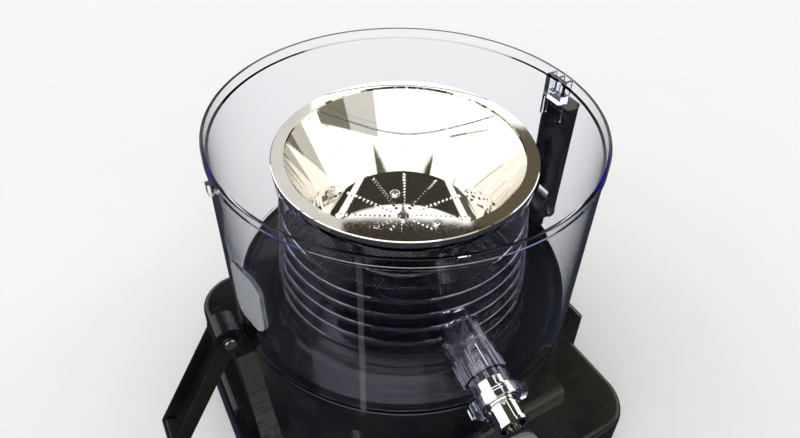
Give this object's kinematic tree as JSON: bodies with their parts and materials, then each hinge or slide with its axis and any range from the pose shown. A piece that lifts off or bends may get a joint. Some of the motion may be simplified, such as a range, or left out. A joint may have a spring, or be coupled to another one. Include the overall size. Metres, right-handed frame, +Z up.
{
  "type": "centrifugal juicer",
  "caption": "Centrifugal juicer with a clear pulp bowl, steel strainer basket with a grater disc, side clamps and a motor base.",
  "frame": {"origin": "on the surface that the feet stand on, under the axis of the bowl, basket and motor", "axes": "+Z up along the spin axis, -Y towards the juice spout and the control knob, clamps at -X and +X"},
  "size_m": [0.2944, 0.2714, 0.24],
  "materials": {
    "clear_plastic": "clear moulded plastic with a blue-violet edge tint",
    "polished_steel": "mirror-polished stainless sheet",
    "bright_steel": "bright plated screws and pins",
    "hub_plastic": "black moulded plastic",
    "black_gloss": "black gloss moulding",
    "black_deck": "black satin moulding",
    "dial_grey": "grey satin dial ring",
    "black_rubber": "soft black rubber",
    "motor_steel": "machined and laminated steel",
    "bracket_metal": "pressed motor brackets",
    "copper": "enamelled copper wire",
    "brass": "brass",
    "carbon": "carbon",
    "switch_plastic": "moulded electrical parts"
  },
  "bodies": {
    "base": {"cover_screws": "bright_steel", "motor_bolts": "bright_steel", "left_hinge_pin": "bright_steel", "right_hinge_pin": "bright_steel", "motor_housing": "black_gloss", "top_deck": "black_deck", "base_plate": "black_deck", "screw_bosses": "black_deck", "dial_ring": "dial_grey", "foot_front_left": "black_rubber", "foot_front_right": "black_rubber", "foot_rear_left": "black_rubber", "foot_rear_right": "black_rubber", "shaft_seal": "black_rubber", "cord_gland": "black_rubber", "rubber_mount_front_left": "black_rubber", "rubber_mount_front_right": "black_rubber", "rubber_mount_rear_left": "black_rubber", "rubber_mount_rear_right": "black_rubber", "stator_core": "motor_steel", "upper_bearing": "motor_steel", "lower_bearing": "motor_steel", "upper_bracket": "bracket_metal", "lower_bracket": "bracket_metal", "field_coil_left": "copper", "field_coil_right": "copper", "brush_holder_left": "brass", "brush_holder_right": "brass", "carbon_brush_left": "carbon", "carbon_brush_right": "carbon", "speed_switch": "switch_plastic", "suppressor_capacitor": "switch_plastic", "terminal_block": "switch_plastic"},
    "rotor": {"motor_shaft": "motor_steel", "rotor_core": "motor_steel", "rotor_winding": "copper", "commutator": "copper", "cooling_fan": "black_deck", "drive_coupling": "hub_plastic", "water_slinger": "black_rubber"},
    "basket": {"basket_rim": "polished_steel", "strainer_cone": "polished_steel", "grater_disc": "polished_steel", "basket_hub": "hub_plastic", "disc_screws": "bright_steel", "centre_pin": "bright_steel"},
    "bowl": {"outer_bowl": "clear_plastic", "juice_ring": "clear_plastic", "spout_tube": "clear_plastic", "spout_flange": "clear_plastic", "spout_nozzle": "polished_steel"},
    "left_clamp": {"left_clamp": "black_gloss", "left_clamp_pad": "black_rubber"},
    "right_clamp": {"right_clamp": "black_gloss", "right_clamp_pad": "black_rubber"},
    "knob": {"control_knob": "black_deck"}
  },
  "joints": [
    {"name": "motor_spin", "type": "hinge", "parent": "base", "child": "rotor", "pos_m": [0, 0, 0.1], "axis": [0, 0, 1], "continuous": true},
    {"name": "basket_lift", "type": "slide", "parent": "rotor", "child": "basket", "axis": [0, 0, 1], "range_m": [0, 0.16]},
    {"name": "bowl_lift", "type": "slide", "parent": "base", "child": "bowl", "axis": [0, 0, 1], "range_m": [0, 0.08]},
    {"name": "left_clamp_hinge", "type": "hinge", "parent": "base", "child": "left_clamp", "pos_m": [-0.119, 0, 0.127], "axis": [0, 1, 0], "range_deg": [0, 150]},
    {"name": "right_clamp_hinge", "type": "hinge", "parent": "base", "child": "right_clamp", "pos_m": [0.119, 0, 0.127], "axis": [0, 1, 0], "range_deg": [0, 150]},
    {"name": "knob_turn", "type": "hinge", "parent": "base", "child": "knob", "pos_m": [0, -0.12, 0.066], "axis": [0, 1, 0], "range_deg": [-60, 60]}
  ],
  "couplings": [
    {"joint": "bowl_lift", "follows": "basket_lift", "ratio": 0.5}
  ]
}
